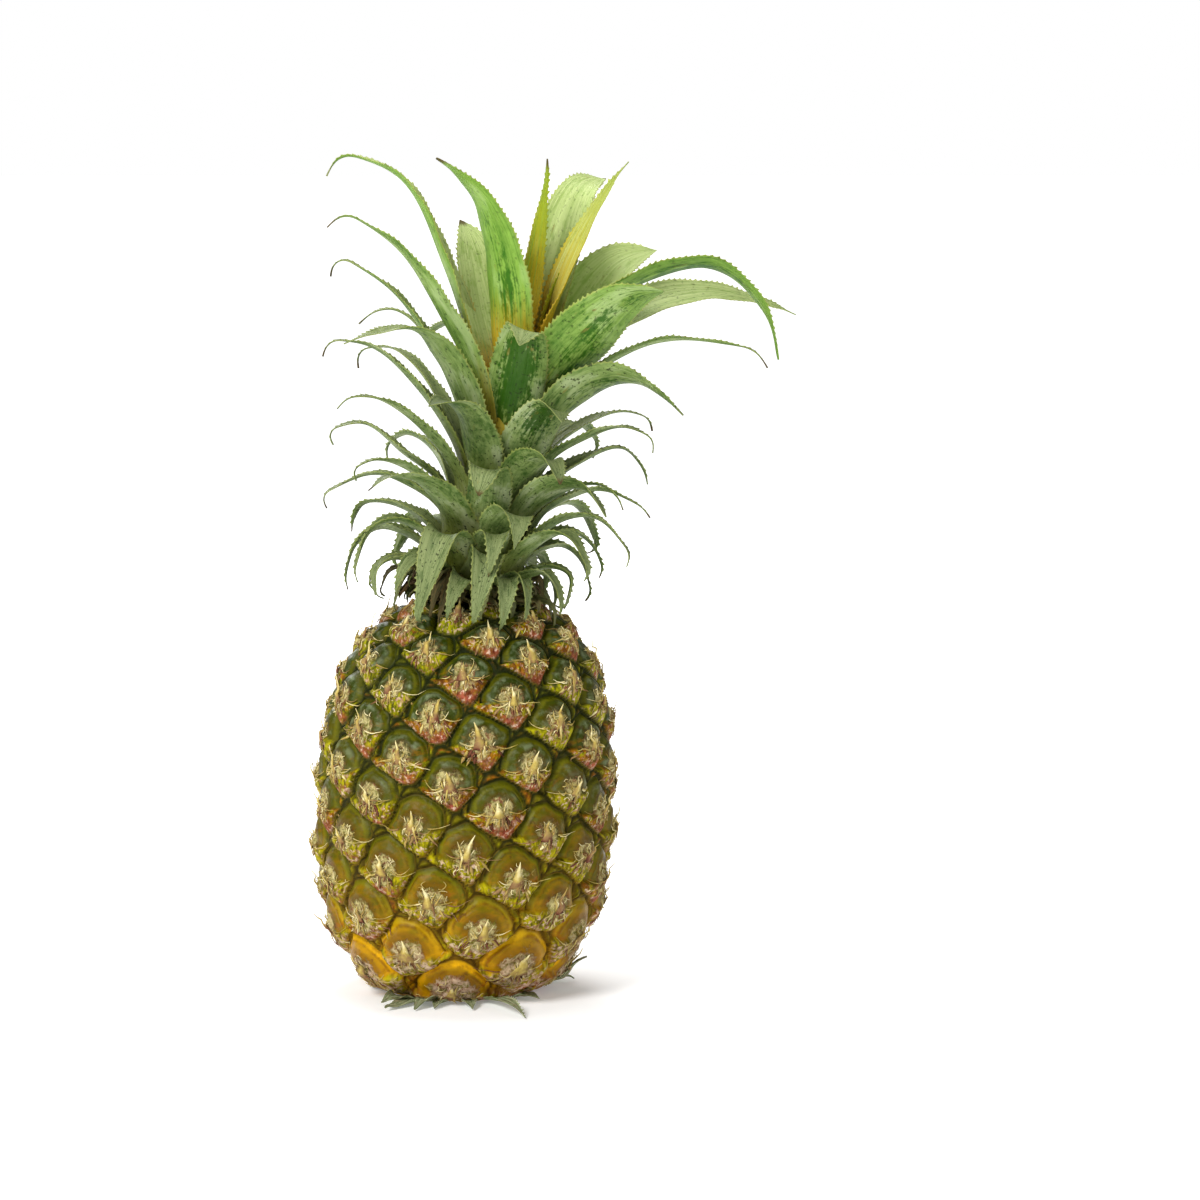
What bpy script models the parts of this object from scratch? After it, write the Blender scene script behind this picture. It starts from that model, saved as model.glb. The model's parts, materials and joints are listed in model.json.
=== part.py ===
"""A whole pineapple standing on its base, with its crown of leaves.

Metres, +Z up. The origin is the middle of the flat spot that the fruit stands on, and
the crown leans towards +X. Front is -Y.
"""

import math

import bmesh
import bpy
import numpy as np
from mathutils import Vector

MM = 0.001
GAP = 0.3 * MM  # clearance between pieces that touch

# Fruit: a barrel, widest a little below the middle, that leans slightly.
FRUIT_RADIUS = 58 * MM
WIDEST_HEIGHT = 68 * MM
LOWER_REACH, LOWER_POWER = 74 * MM, (2.4, 2.4)
UPPER_REACH, UPPER_POWER = 90 * MM, (3.0, 2.6)
FRUIT_TOP = 157 * MM  # the flat that the crown sits on
FRUIT_LEAN = 0.036  # sideways shift for each unit of height
FRUIT_SEGMENTS, FRUIT_RINGS = 72, 34

# Eyes: berries set on a spiral by the golden angle, each with its share of the skin.
GOLDEN_ANGLE = math.radians(137.508)
EYE_AREA = 461 * MM * MM
FIRST_EYE_ANGLE = math.radians(123.97)
EYES_ABOVE_FIRST = 8.34
EYE_SHARE_HEIGHT, EYE_SHARE_SPAN = 85 * MM, 75 * MM
TOP_SHRINK, BOTTOM_GROWTH = 0.409, 0.681
EYE_RISE, EYE_REACH = 2.2 * MM, 14 * MM

# Cut stem: a short stub in a recess in the base, flush with the flat spot.
STUB_RADIUS, STUB_HEIGHT = 11 * MM, 9 * MM

# Crown: leaves round a tapered stem that leans over.
CROWN_LEAN = math.radians(12)
CROWN_PLACE = Vector((6 * MM, 0, FRUIT_TOP + GAP))
CROWN_STEM_LENGTH = 84 * MM
CROWN_STEM_RADII = (15 * MM, 3 * MM)
LEAF_THICKNESS = 1.0 * MM
LEAF_STATIONS = 8
CHANNEL = 0.12  # how far the edges rise above the middle, as a share of half the width
MOST_WRAP = math.radians(20)  # how far a leaf's foot reaches round the stem, each way

# One line a leaf, lowest first: azimuth in degrees (0 is right, -90 front), greatest width,
# height on the stem, then the course of its midrib as (out, up) from the crown's axis, in mm.
LEAVES = [
    (-87, 14, 4, (24, 18), (33, 22), (39, 15), (42, -1)),
    (-70, 11, 2, (23, 11), (32, 14), (37, 8), (39, -2)),
    (-10, 9, 3, (18, 14), (28, 20), (37, 17), (37, 9)),
    (-150, 9, 3, (24, 10), (38, 12), (46, 6), (44, -2)),
    (175, 11, 5, (23, 17), (41, 21), (51, 11), (52, -4)),
    (-118, 17, 7, (19, 17), (30, 26), (38, 22), (42, -6)),
    (15, 11, 7, (18, 20), (30, 28), (41, 23), (47, 12)),
    (132, 13, 8, (22, 21), (34, 27), (46, 22), (52, 8)),
    (-44, 13, 7, (20, 21), (34, 34), (47, 35), (58, 26)),
    (-165, 12, 9, (24, 22), (38, 26), (48, 18), (50, 2)),
    (72, 14, 11, (20, 25), (34, 34), (47, 29), (54, 14)),
    (-21, 12, 11, (19, 28), (32, 41), (47, 43), (61, 33)),
    (162, 12, 12, (24, 25), (40, 30), (54, 27), (57, 18)),
    (-74, 18, 14, (18, 30), (30, 39), (41, 38), (44, 27)),
    (108, 16, 15, (20, 31), (34, 41), (49, 39), (58, 26)),
    (40, 14, 17, (18, 33), (31, 43), (46, 42), (57, 30)),
    (-130, 18, 17, (20, 31), (40, 44), (62, 46), (75, 40)),
    (-1, 12, 16, (19, 38), (30, 49), (43, 54), (60, 50)),
    (172, 12, 19, (20, 33), (36, 40), (52, 40), (67, 29)),
    (82, 16, 21, (20, 39), (33, 51), (50, 53), (62, 42)),
    (-100, 17, 22, (17, 41), (24, 53), (33, 54), (35, 44)),
    (-38, 14, 20, (17, 40), (28, 52), (43, 55), (57, 47)),
    (-63, 16, 28, (14, 47), (25, 60), (40, 64), (54, 57)),
    (178, 12, 28, (23, 44), (39, 52), (57, 60), (68, 55)),
    (108, 18, 30, (19, 48), (32, 64), (49, 69), (62, 61)),
    (14, 12, 30, (19, 50), (33, 64), (48, 71), (60, 62)),
    (56, 16, 33, (18, 53), (32, 69), (50, 75), (65, 68)),
    (-150, 13, 32, (20, 50), (39, 65), (60, 73), (75, 71)),
    (-125, 19, 36, (15, 55), (25, 70), (40, 78), (56, 76)),
    (-15, 12, 36, (18, 60), (31, 73), (46, 81), (58, 79)),
    (-62, 19, 40, (15, 58), (22, 74), (32, 83), (43, 80)),
    (150, 13, 40, (21, 60), (40, 80), (60, 90), (76, 86)),
    (25, 10, 42, (17, 62), (33, 78), (48, 85), (60, 84)),
    (85, 18, 42, (17, 62), (27, 88), (42, 106), (60, 104)),
    (-174, 13, 43, (22, 63), (40, 80), (60, 91), (77, 90)),
    (-31, 17, 47, (15, 72), (32, 94), (52, 101), (77, 93)),
    (124, 17, 48, (13, 71), (32, 96), (54, 105), (72, 98)),
    (-140, 17, 49, (17, 67), (36, 91), (58, 103), (90, 94)),
    (162, 12, 46, (21, 73), (40, 97), (57, 106), (70, 101)),
    (-94, 20, 52, (12, 78), (18, 98), (28, 111), (39, 106)),
    (-6, 11, 53, (13, 80), (34, 105), (58, 119), (93, 122)),
    (-178, 13, 53, (18, 77), (34, 94), (56, 114), (79, 123)),
    (-162, 15, 57, (17, 86), (37, 111), (60, 132), (86, 142)),
    (31, 15, 60, (12, 88), (38, 121), (76, 138), (123, 138)),
    (-44, 19, 60, (11, 86), (28, 111), (46, 130), (66, 139)),
    (92, 16, 59, (14, 83), (26, 110), (41, 133), (60, 140)),
    (0, 15, 64, (9, 96), (30, 131), (62, 150), (86, 141), (101, 120)),
    (170, 15, 64, (17, 92), (38, 128), (63, 158), (93, 163)),
    (46, 18, 66, (10, 94), (20, 118), (31, 143), (49, 152)),
    (-138, 18, 69, (9, 98), (20, 130), (38, 156), (65, 171)),
    (126, 16, 70, (11, 94), (27, 118), (46, 138), (64, 149)),
    (68, 17, 74, (5, 110), (10, 142), (20, 168), (46, 176)),
    (-10, 12, 77, (6, 108), (8, 130), (14, 156), (23, 182)),
    (-150, 8, 80, (4, 112), (5, 140), (7, 178)),
]

# Dead bracts: short dry leaves that lie flattened round the base. Azimuth in degrees, length,
# width, and how far the tip lies from the floor, in mm.
BASE_BRACTS = [(-125, 34, 13, 1.5), (-62, 40, 9, 3.0), (20, 30, 12, 2.0)]
BRACT_START = 31 * MM


def clear_scene():
    for obj in list(bpy.data.objects):
        bpy.data.objects.remove(obj)


def make_material(name, colour, roughness):
    material = bpy.data.materials.new(name)
    material.use_nodes = True
    shader = material.node_tree.nodes["Principled BSDF"]
    shader.inputs["Base Color"].default_value = (*colour, 1)
    shader.inputs["Roughness"].default_value = roughness
    shader.inputs["Metallic"].default_value = 0
    return material


def make_object(name, bm, material, parent=None):
    """Turns a bmesh into a named, smooth-shaded object."""
    bmesh.ops.recalc_face_normals(bm, faces=bm.faces)
    mesh = bpy.data.meshes.new(name)
    bm.to_mesh(mesh)
    bm.free()
    mesh.shade_smooth()
    mesh.set_sharp_from_angle(angle=math.radians(50))
    mesh.materials.append(material)
    obj = bpy.data.objects.new(name, mesh)
    bpy.context.scene.collection.objects.link(obj)
    obj.parent = parent
    return obj


def loft(rings):
    """A closed body through rings of points, with a flat cap at each end."""
    bm = bmesh.new()
    loops = [[bm.verts.new(point) for point in ring] for ring in rings]
    count = len(loops[0])
    for below, above in zip(loops, loops[1:]):
        for i in range(count):
            j = (i + 1) % count
            bm.faces.new((below[i], below[j], above[j], above[i]))
    bm.faces.new(loops[0][::-1])
    bm.faces.new(loops[-1])
    return bm


def circle(radius, height, segments, centre_x=0.0):
    turns = (2 * math.pi * i / segments for i in range(segments))
    return [Vector((centre_x + radius * math.cos(t), radius * math.sin(t), height)) for t in turns]


def fruit_radius(height):
    """The barrel's smooth outline: two quarters of a superellipse."""
    if height > WIDEST_HEIGHT:
        reach, powers = UPPER_REACH, UPPER_POWER
    else:
        reach, powers = LOWER_REACH, LOWER_POWER
    share = abs(height - WIDEST_HEIGHT) / reach
    return FRUIT_RADIUS * max(1 - share ** powers[0], 0) ** (1 / powers[1])


def outline(steps=600):
    """Heights and radii down the side of the fruit, from its top flat to its base."""
    turns = np.linspace(0, 1, steps)
    heights = FRUIT_TOP * (1 - turns)
    return heights, np.array([fruit_radius(h) for h in heights])


def eye_places():
    """Each eye's middle on the smooth outline, as (height, angle)."""
    heights, radii = outline()
    share = (heights - EYE_SHARE_HEIGHT) / EYE_SHARE_SPAN
    size = 1 - np.where(share > 0, TOP_SHRINK, -BOTTOM_GROWTH) * share**2
    slant = np.hypot(np.diff(heights), np.diff(radii))
    skin = math.pi * (radii[1:] + radii[:-1]) * slant / ((size[1:] + size[:-1]) / 2)
    skin = np.concatenate([[math.pi * radii[0] ** 2 / size[0]], skin]).cumsum()
    places = []
    index = math.ceil(skin[0] / EYE_AREA - EYES_ABOVE_FIRST)
    while EYE_AREA * (index + EYES_ABOVE_FIRST) < skin[-1]:
        height = float(np.interp(EYE_AREA * (index + EYES_ABOVE_FIRST), skin, heights))
        places.append((height, FIRST_EYE_ANGLE + GOLDEN_ANGLE * index))
        index += 1
    return places


def fruit_heights():
    """Ring heights spaced evenly along the outline's slant."""
    heights, radii = outline()
    slant = np.concatenate([[0], np.hypot(np.diff(heights), np.diff(radii)).cumsum()])
    return np.interp(np.linspace(slant[-1], 0, FRUIT_RINGS), slant, heights)


def make_fruit(material):
    eyes = [(fruit_radius(h) * math.cos(a), fruit_radius(h) * math.sin(a), h) for h, a in eye_places()]
    eyes = np.array(eyes)
    recess, depth = STUB_RADIUS + GAP, STUB_HEIGHT + GAP
    rings = [circle(recess, depth, FRUIT_SEGMENTS), circle(recess, 0, FRUIT_SEGMENTS)]
    heights = fruit_heights()
    for height in heights:
        radius = fruit_radius(height)
        ring = []
        for point in circle(radius, height, FRUIT_SEGMENTS):
            nearest = np.linalg.norm(eyes - np.array(point), axis=1).min()
            rise = EYE_RISE * max(1 - (nearest / EYE_REACH) ** 2, 0)
            if height in (heights[0], heights[-1]):
                rise = 0
            out = 1 + rise / radius
            ring.append(Vector((point.x * out + FRUIT_LEAN * height, point.y * out, height)))
        rings.append(ring)
    return make_object("fruit", loft(rings), material)


def make_stem_stub(material):
    rings = [circle(STUB_RADIUS, 0, 32), circle(STUB_RADIUS, STUB_HEIGHT, 32)]
    return make_object("stem_stub", loft(rings), material)


def crown_stem_radius(height):
    low, high = CROWN_STEM_RADII
    return low + (high - low) * height / CROWN_STEM_LENGTH


def make_crown_stem(material, crown):
    """A tapered core whose foot is cut level, so that it sits flat on the fruit."""
    foot = circle(CROWN_STEM_RADII[0], 0, 32)
    for point in foot:
        point.z = point.x * math.tan(CROWN_LEAN)
    levels = np.linspace(0.1, 1, 7) * CROWN_STEM_LENGTH
    rings = [foot] + [circle(crown_stem_radius(h), h, 32) for h in levels]
    return make_object("crown_stem", loft(rings), material, crown)


def smooth_course(points, count):
    """Evenly spaced points on a smooth curve through the given ones, as arrays (out, up)."""
    points = [Vector(p) for p in points]
    points = [2 * points[0] - points[1], *points, 2 * points[-1] - points[-2]]
    fine = []
    for a, b, c, d in zip(points, points[1:], points[2:], points[3:]):
        for t in np.linspace(0, 1, 12, endpoint=False):
            fine.append(
                0.5 * (2 * b + (c - a) * t + (2 * a - 5 * b + 4 * c - d) * t**2 + (3 * b - a - 3 * c + d) * t**3)
            )
    fine = np.array([*fine, points[-2]])
    along = np.concatenate([[0], np.linalg.norm(np.diff(fine, axis=0), axis=1).cumsum()])
    even = np.linspace(0, along[-1], count)
    return np.interp(even, along, fine[:, 0]), np.interp(even, along, fine[:, 1])


def leaf_width(share):
    """Half the blade's width at a share of its length, as a share of its greatest half width."""
    shoulder = 0.62 + 0.38 * math.sin(math.pi * min(share / 0.7, 1) * 0.5)
    return shoulder * max(1 - share**3.2, 0.04)


def leaf_rings(azimuth, width, base, course):
    """Sections of a blade that wraps round the crown's axis and tapers to its tip."""
    start = (crown_stem_radius(base * MM) / MM + 1.2, base)
    out, up = smooth_course([start, *course], LEAF_STATIONS)
    slope = np.arctan2(np.gradient(up), np.gradient(out))
    rings = []
    for i in range(LEAF_STATIONS):
        share = i / (LEAF_STATIONS - 1)
        half = width / 2 * leaf_width(share)
        turn = min(half / out[i], MOST_WRAP)
        inner, outer = [], []
        for across in (-1, -0.38, 0.38, 1):
            angle = azimuth + turn * across
            lift = CHANNEL * min(2 * share, 1) * half * (across**2 - 0.4)
            for side, points in ((1, inner), (-1, outer)):
                shift = lift + side * LEAF_THICKNESS / MM / 2
                radius = out[i] - shift * math.sin(slope[i])
                height = up[i] + shift * math.cos(slope[i])
                points.append(Vector((radius * math.cos(angle), radius * math.sin(angle), height)) * MM)
        rings.append(inner + outer[::-1])
    return rings


def make_crown_leaves(material, crown):
    for number, (azimuth, width, base, *course) in enumerate(LEAVES, 1):
        rings = leaf_rings(math.radians(azimuth), width, base, course)
        make_object(f"crown_leaf_{number:02d}", loft(rings), material, crown)


def make_base_bracts(material):
    """Flat dry leaves that start under the edge of the fruit and lie out over the floor."""
    for number, (azimuth, length, width, tip) in enumerate(BASE_BRACTS, 1):
        angle = math.radians(azimuth)
        along = Vector((math.cos(angle), math.sin(angle), 0))
        aside = Vector((-along.y, along.x, 0))
        rings = []
        for share in np.linspace(0, 1, 6):
            half = width * MM / 2 * (1 - share**2) + 0.4 * MM
            rise = tip * MM * share
            middle = along * (BRACT_START + length * MM * share)
            thick = Vector((0, 0, 0.8 * MM))
            low = Vector((0, 0, rise))
            left, right = middle - aside * half + low, middle + aside * half + low
            rings.append([left, right, right + thick, left + thick])
        make_object(f"base_bract_{number}", loft(rings), material)


clear_scene()
skin = make_material("fruit_skin", (0.22, 0.23, 0.04), 0.45)
leaf = make_material("leaf_green", (0.13, 0.22, 0.09), 0.55)
core = make_material("stem_fibre", (0.50, 0.42, 0.20), 0.8)
dry = make_material("dry_bract", (0.20, 0.19, 0.09), 0.8)

crown_axis = bpy.data.objects.new("crown_axis", None)
crown_axis.location = CROWN_PLACE
crown_axis.rotation_euler = (0, CROWN_LEAN, 0)
bpy.context.scene.collection.objects.link(crown_axis)

make_fruit(skin)
make_stem_stub(core)
make_crown_stem(core, crown_axis)
make_crown_leaves(leaf, crown_axis)
make_base_bracts(dry)
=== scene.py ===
"""The looks of a whole pineapple: its skin of eyes, the dry bracts on them, and its crown."""

import json
import math

import bpy
import numpy as np
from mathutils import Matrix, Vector

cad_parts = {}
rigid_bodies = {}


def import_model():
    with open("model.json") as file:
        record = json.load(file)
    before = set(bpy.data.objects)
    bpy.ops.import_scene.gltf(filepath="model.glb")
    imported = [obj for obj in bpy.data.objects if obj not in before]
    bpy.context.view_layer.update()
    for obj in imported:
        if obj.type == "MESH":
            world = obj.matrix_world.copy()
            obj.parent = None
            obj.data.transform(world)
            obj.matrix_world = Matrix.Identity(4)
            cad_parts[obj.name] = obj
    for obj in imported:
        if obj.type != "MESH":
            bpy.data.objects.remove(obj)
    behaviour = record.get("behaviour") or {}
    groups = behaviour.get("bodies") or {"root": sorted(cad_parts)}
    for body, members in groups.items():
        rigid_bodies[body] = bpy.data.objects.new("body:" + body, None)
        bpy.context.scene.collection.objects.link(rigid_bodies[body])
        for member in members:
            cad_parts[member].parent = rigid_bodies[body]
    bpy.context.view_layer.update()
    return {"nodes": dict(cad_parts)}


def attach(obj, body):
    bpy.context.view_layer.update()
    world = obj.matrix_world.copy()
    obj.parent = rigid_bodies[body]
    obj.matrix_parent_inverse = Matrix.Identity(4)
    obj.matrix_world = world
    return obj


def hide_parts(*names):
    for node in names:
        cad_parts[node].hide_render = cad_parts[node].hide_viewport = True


for spare in list(bpy.data.objects):
    bpy.data.objects.remove(spare)
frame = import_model()
nodes = frame["nodes"]
MM = 0.001

# ---- Fruit skin ----
# The rind is one skin of about 120 grown-together berries, each a raised eye set on a spiral
# by the golden angle. The upper half of an eye is smooth and waxy; a fleshy bract laps over
# the lower half, and a deep groove runs round each eye. It grows in one piece with the fruit.

FRUIT_TOP = 157.0
WIDEST_HEIGHT, FRUIT_RADIUS, FRUIT_LEAN = 68, 58, 0.036
UPPER_CURVE, LOWER_CURVE = (90, 3.0, 2.6), (74, 2.4, 2.4)
GOLDEN_ANGLE = math.radians(137.508)
EYE_AREA, FIRST_EYE_ANGLE, EYES_ABOVE_FIRST = 461, math.radians(123.97), 8.34
EYE_SHARE_HEIGHT, EYE_SHARE_SPAN, TOP_SHRINK, BOTTOM_GROWTH = 85, 75, 0.409, 0.681
RECESS_RADIUS, RECESS_DEPTH = 11.3, 9.3
SKIN_AROUND, SKIN_ALONG, BASE_RINGS = 432, 221, 6
CAP_RADIUS, TOP_RADIUS = 4, 9
# How the skin of an eye lies against the smooth outline, in mm: a dome over a flap.
DOME_FOOT, DOME_RISE, DOME_SHARE = -2.6, 4.5, 0.72
FLAP_FOOT, FLAP_RISE, FLAP_REACH = -1.1, 2.6, 5
TIP_RISE, HOLLOW_DEPTH, FOLD_DEPTH = 1.1, 0.9, 0.20
BORDER_ROUNDING, BELOW_STRETCH = 0.55, 0.30


def fruit_radius(height):
    """The barrel's smooth outline: two quarters of a superellipse, by reach, power and root."""
    upper = height > WIDEST_HEIGHT
    reach, power, root = (np.where(upper, *pair) for pair in zip(UPPER_CURVE, LOWER_CURVE))
    share = np.abs(height - WIDEST_HEIGHT) / reach
    return FRUIT_RADIUS * np.maximum(1 - share**power, 0) ** (1 / root)


def eye_size(height):
    """How large an eye is at a height, against one at the middle of the fruit."""
    share = (height - EYE_SHARE_HEIGHT) / EYE_SHARE_SPAN
    return 1 - np.where(share > 0, TOP_SHRINK, -BOTTOM_GROWTH) * share**2


def eye_places():
    """Heights and angles of the eyes, each with its own share of the skin's area."""
    heights = FRUIT_TOP * (1 - np.linspace(0, 1, 600))
    radii = fruit_radius(heights)
    size = eye_size(heights)
    slant = np.hypot(np.diff(heights), np.diff(radii))
    skin = math.pi * (radii[1:] + radii[:-1]) * slant / ((size[1:] + size[:-1]) / 2)
    skin = np.concatenate([[math.pi * radii[0] ** 2 / size[0]], skin]).cumsum()
    first = math.ceil(skin[0] / EYE_AREA - EYES_ABOVE_FIRST)
    last = math.ceil(skin[-1] / EYE_AREA - EYES_ABOVE_FIRST)
    index = np.arange(first, last)
    at = np.interp(EYE_AREA * (index + EYES_ABOVE_FIRST), skin, heights)
    return at, FIRST_EYE_ANGLE + GOLDEN_ANGLE * index


side_heights = np.linspace(0, FRUIT_TOP, 3000)
side_radii = fruit_radius(side_heights)
side_tilt = np.arctan2(-np.gradient(side_radii), np.gradient(side_heights))
side_arc = np.hypot(np.diff(side_heights), np.diff(side_radii))
side_arc = np.concatenate([[0], side_arc.cumsum()])

eye_heights, eye_angles = eye_places()
eye_arcs = np.interp(eye_heights, side_heights, side_arc)
eye_radii = np.sqrt(EYE_AREA * eye_size(eye_heights) / math.pi)
eye_random = np.random.default_rng(7).random((len(eye_heights), 8))


def side_place(arc, angle, lift=0.0):
    """Points in mm at a lift above the smooth outline, before the fruit's lean."""
    tilt = np.interp(arc, side_arc, side_tilt)
    out = np.interp(arc, side_arc, side_radii) + lift * np.cos(tilt)
    up = np.maximum(np.interp(arc, side_arc, side_heights) + lift * np.sin(tilt), 0)
    return np.stack([out * np.cos(angle), out * np.sin(angle), up], -1)


def smooth(value, low, high):
    share = np.clip((value - low) / (high - low), 0, 1)
    return share * share * (3 - 2 * share)


def wander(points, reach, seed, size):
    """A slow random drift over the fruit, up to about size, with waves about reach long."""
    dice = np.random.default_rng(seed)
    total = 0
    for _ in range(5):
        heading = dice.normal(size=3)
        heading *= dice.uniform(0.7, 1.5) * 2 * math.pi / reach / np.linalg.norm(heading)
        total = total + np.sin(points @ heading + dice.uniform(0, 6))
    return total * size / 3


def eye_relief(arc, angle):
    """For points on the outline: how far the skin rises, and what belongs to its eye there."""
    points = side_place(arc, angle)
    radius = np.interp(arc, side_arc, side_radii)
    arc_drift = arc + wander(points, 24, 1, 0.9) + wander(points, 7, 2, 0.25)
    side_drift = wander(points, 22, 3, 0.9) + wander(points, 8, 4, 0.25)
    turn = (angle[:, None] - eye_angles + math.pi) % (2 * math.pi) - math.pi
    aside = turn * np.sqrt(radius[:, None] * fruit_radius(eye_heights)) + side_drift[:, None]
    above = arc_drift[:, None] - eye_arcs
    gaps = np.hypot(aside, above)
    gaps *= 1 + BELOW_STRETCH * np.clip(-above / np.maximum(gaps, 0.1), 0, 1)
    nearest = gaps.argmin(1)
    row = np.arange(len(points))
    gap = gaps[row, nearest]
    border = (gaps - gap[:, None]) / 2
    border[row, nearest] = 99
    border = np.sort(border, axis=1)[:, :4]
    border = -BORDER_ROUNDING * np.log(np.exp(-border / BORDER_ROUNDING).sum(1))
    size, chance = eye_radii[nearest], eye_random[nearest]
    across = turn[row, nearest] * radius / size
    up = (arc - eye_arcs[nearest]) / size
    border = np.maximum(border + BORDER_ROUNDING * 0.25, 0)
    # Above its middle an eye ends in a round arch, and its corners outside that are bract flesh.
    roundness = 1.0 + wander(points, 14, 9, 0.05) + 0.08 * (chance[:, 7] - 0.5)
    round_gap = (roundness - np.hypot(across, np.maximum(up - 0.02, 0) * 0.98)) * size
    corner = smooth(-round_gap, -0.4, 0.6) * smooth(up, -0.05, 0.15)
    border = np.where(up > -0.1, np.minimum(border, np.abs(round_gap) + 0.1), border)
    # The bract's upper edge dips to each side and runs up to a point in the middle.
    crease = np.abs(across + 0.10 * (chance[:, 0] - 0.5))
    edge = -0.17 + 0.10 * crease**2 + 0.44 * np.maximum(1 - crease / 0.36, 0) ** 1.4
    edge += 0.03 * np.sin(13 * across + 9 * chance[:, 1]) + wander(points, 4, 5, 0.05)
    bract = smooth(edge - up, -0.03, 0.05)
    pillow = 1 - (1 - np.minimum(border / (DOME_SHARE * size), 1)) ** 2.2
    shingle = np.clip((up + 1.0) / (edge + 1.0), 0, 1) ** 1.4 * bract
    hollow = np.exp(-((across / 0.36) ** 2 + ((up - 0.12) / 0.28) ** 2)) * (1 - bract)
    folds = np.arctan2(across, up + 1.3) * 34 + 20 * chance[:, 2] + wander(points, 5, 6, 1.2)
    folds = np.sin(folds)
    bract = np.maximum(bract, corner)
    lapped = np.maximum(smooth(-0.05 - up, 0, 0.25), corner * 0.8)
    ripple = 0.10 * np.sin(border * 2.3 + 2 * chance[:, 6]) * smooth(border, 0.6, 1.5)
    dome = DOME_FOOT + DOME_RISE * pillow + ripple
    flap = FLAP_FOOT + FLAP_RISE * (1 - (1 - np.minimum(border / FLAP_REACH, 1)) ** 2)
    rise = dome + (flap - dome) * lapped + TIP_RISE * shingle - HOLLOW_DEPTH * hollow
    rise += FOLD_DEPTH * folds * bract * np.minimum(border / 2, 1)
    rise += 0.8 * (chance[:, 3] - 0.5) * pillow + wander(points, 6, 8, 0.18)
    ends = smooth(arc, 0, 7) * smooth(side_arc[-1] - arc, 0, 5)
    marks = {
        "eye_across": across,
        "eye_up": up,
        "eye_border": border,
        "eye_bract": bract * smooth(border, 0.0, 1.2),
        "eye_chance": chance[:, 4],
        "eye_height": np.interp(arc, side_arc, side_heights) / FRUIT_TOP,
    }
    return rise * ends, marks


def lean(points):
    """The fruit's own lean towards +X, and mm turned to metres."""
    points = np.array(points, float)
    points[..., 0] += FRUIT_LEAN * points[..., 2]
    return points * MM


def hexed(code):
    """A colour as a shader takes it, from its two-digit red, green and blue."""
    parts = np.array([int(code[i : i + 2], 16) for i in (0, 2, 4)]) / 255
    parts = np.where(parts < 0.04045, parts / 12.92, ((parts + 0.055) / 1.055) ** 2.4)
    return (*parts.tolist(), 1)


class Level:
    """A value in a finish. Sums written on it become that finish's Math nodes."""

    def __init__(self, finish, socket):
        self.finish = finish
        self.socket = socket

    def maths(self, operation, *others):
        return self.finish.maths(operation, self, *others)

    def __add__(self, other):
        return self.maths("ADD", other)

    def __sub__(self, other):
        return self.maths("SUBTRACT", other)

    def __rsub__(self, other):
        return self.finish.maths("SUBTRACT", other, self)

    def __mul__(self, other):
        return self.maths("MULTIPLY", other)

    def __truediv__(self, other):
        return self.maths("DIVIDE", other)

    def __pow__(self, other):
        return self.maths("POWER", other)

    def __abs__(self):
        return self.maths("ABSOLUTE")

    __radd__ = __add__

    def swing(self, size):
        """How far a level lies from its middle value of a half, times size."""
        return (self - 0.5) * size

    def step(self, low, high):
        """0 below low, 1 above high, and smooth between; low may be the higher."""
        sockets = {"Value": self, "From Min": low, "From Max": high}
        return self.finish.node("ShaderNodeMapRange", {"interpolation_type": "SMOOTHSTEP"}, sockets)


class Finish:
    """One material: a Principled shader and the nodes that vary it over the surface."""

    def __init__(self, name, **constants):
        self.material = bpy.data.materials.new(name)
        self.material.use_nodes = True
        self.tree = self.material.node_tree
        self.shader = self.tree.nodes["Principled BSDF"]
        for socket, value in constants.items():
            self.shader.inputs[socket.replace("_", " ")].default_value = value

    def node(self, kind, settings, sockets, output=0):
        """Adds a node: settings first, then its sockets' values, colour codes or links."""
        made = self.tree.nodes.new(kind)
        for name, value in settings.items():
            if name == "stops":
                ramp = made.color_ramp.elements
                while len(ramp) < len(value):
                    ramp.new(1)
                for stop, (place, colour) in zip(ramp, value):
                    stop.position, stop.color = place, hexed(colour)
            else:
                setattr(made, name, value)
        for name, value in sockets.items():
            if isinstance(value, Level):
                self.tree.links.new(value.socket, made.inputs[name])
            else:
                colour = isinstance(value, str)
                made.inputs[name].default_value = hexed(value) if colour else value
        return Level(self, made.outputs[output])

    def mark(self, name):
        """A value that the mesh carries at each of its points."""
        return self.node("ShaderNodeAttribute", {"attribute_name": name}, {}, "Fac")

    def vector(self, x, y, z):
        return self.node("ShaderNodeCombineXYZ", {}, {"X": x, "Y": y, "Z": z})

    def grain(self, scale, detail=3.0, at=None, roughness=0.55):
        """Soft random mottling from 0 to 1, finer as scale rises."""
        sockets = {"Scale": scale, "Detail": detail, "Roughness": roughness}
        sockets["Vector"] = at or self.place()
        return self.node("ShaderNodeTexNoise", {}, sockets)

    def maths(self, operation, *values):
        return self.node("ShaderNodeMath", {"operation": operation}, dict(enumerate(values)))

    def place(self):
        return self.node("ShaderNodeTexCoord", {}, {}, "Object")

    def mix(self, share, below, above):
        settings = {"data_type": "RGBA", "clamp_factor": True}
        return self.node("ShaderNodeMix", settings, {0: share, 6: below, 7: above}, 2)

    def coats(self, tone, *coats):
        """Lays coats over a tone one after another, each by its share and its colour."""
        for share, colour in coats:
            tone = self.mix(share, tone, colour)
        return tone

    def set(self, **links):
        for socket, value in links.items():
            self.tree.links.new(value.socket, self.shader.inputs[socket.replace("_", " ")])

    def bump(self, height, distance, strength):
        sockets = {"Height": height, "Distance": distance, "Strength": strength}
        self.set(Normal=self.node("ShaderNodeBump", {}, sockets))


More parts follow.
